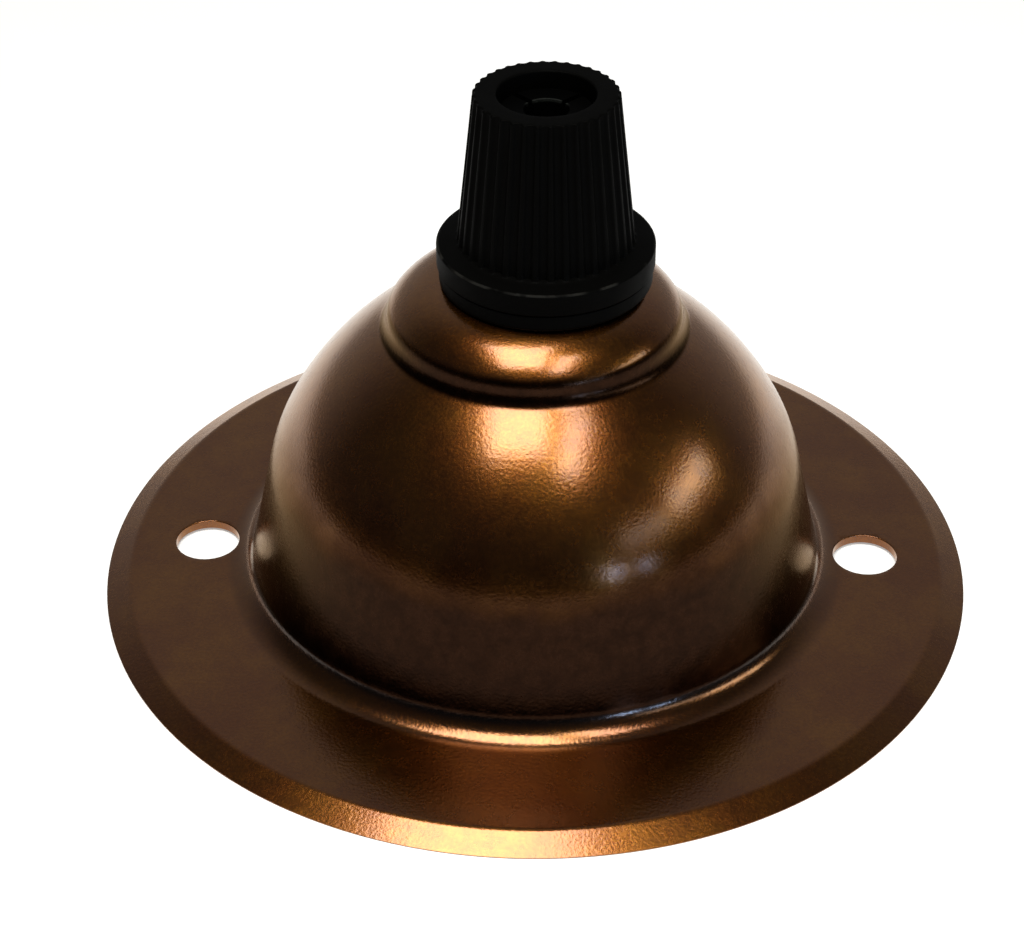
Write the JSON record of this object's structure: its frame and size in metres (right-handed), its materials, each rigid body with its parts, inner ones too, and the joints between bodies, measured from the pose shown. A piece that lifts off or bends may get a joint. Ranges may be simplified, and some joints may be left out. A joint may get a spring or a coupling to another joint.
{
  "type": "light fixture ceiling canopy",
  "caption": "Domed metal ceiling canopy with a round flange, fixing holes and a ribbed plastic cord grip whose cap unscrews from the crown.",
  "frame": {"origin": "centre of the rim, on the face that meets the ceiling", "axes": "+Z out of the dome along the flex, +X along the line of the fixing holes towards the side the grip is shifted to"},
  "size_m": [0.1, 0.1, 0.0602],
  "materials": {
    "antiqued_brass": "antiqued dark brown under satin lacquer",
    "black_plastic": "fine moulded grain",
    "zinc_steel": "zinc plated",
    "plain_brass": "plain turned brass"
  },
  "bodies": {
    "canopy": {"ceiling_plate": "antiqued_brass", "grip_base": "black_plastic", "lock_washer": "zinc_steel", "earth_tag": "plain_brass", "back_nut": "plain_brass"},
    "jaws": {"grip_jaws": "black_plastic"},
    "cap": {"grip_cap": "black_plastic"}
  },
  "joints": [
    {"name": "jaws_lift", "type": "slide", "parent": "canopy", "child": "jaws", "axis": [0, 0, 1], "range_m": [0, 0.0075]},
    {"name": "cap_turn", "type": "hinge", "parent": "jaws", "child": "cap", "pos_m": [0.0012, 0, 0.05], "axis": [0, 0, 1], "range_deg": [0, 1800]}
  ],
  "couplings": [
    {"joint": "jaws_lift", "follows": "cap_turn", "m_per_rad": 0.00023873}
  ]
}
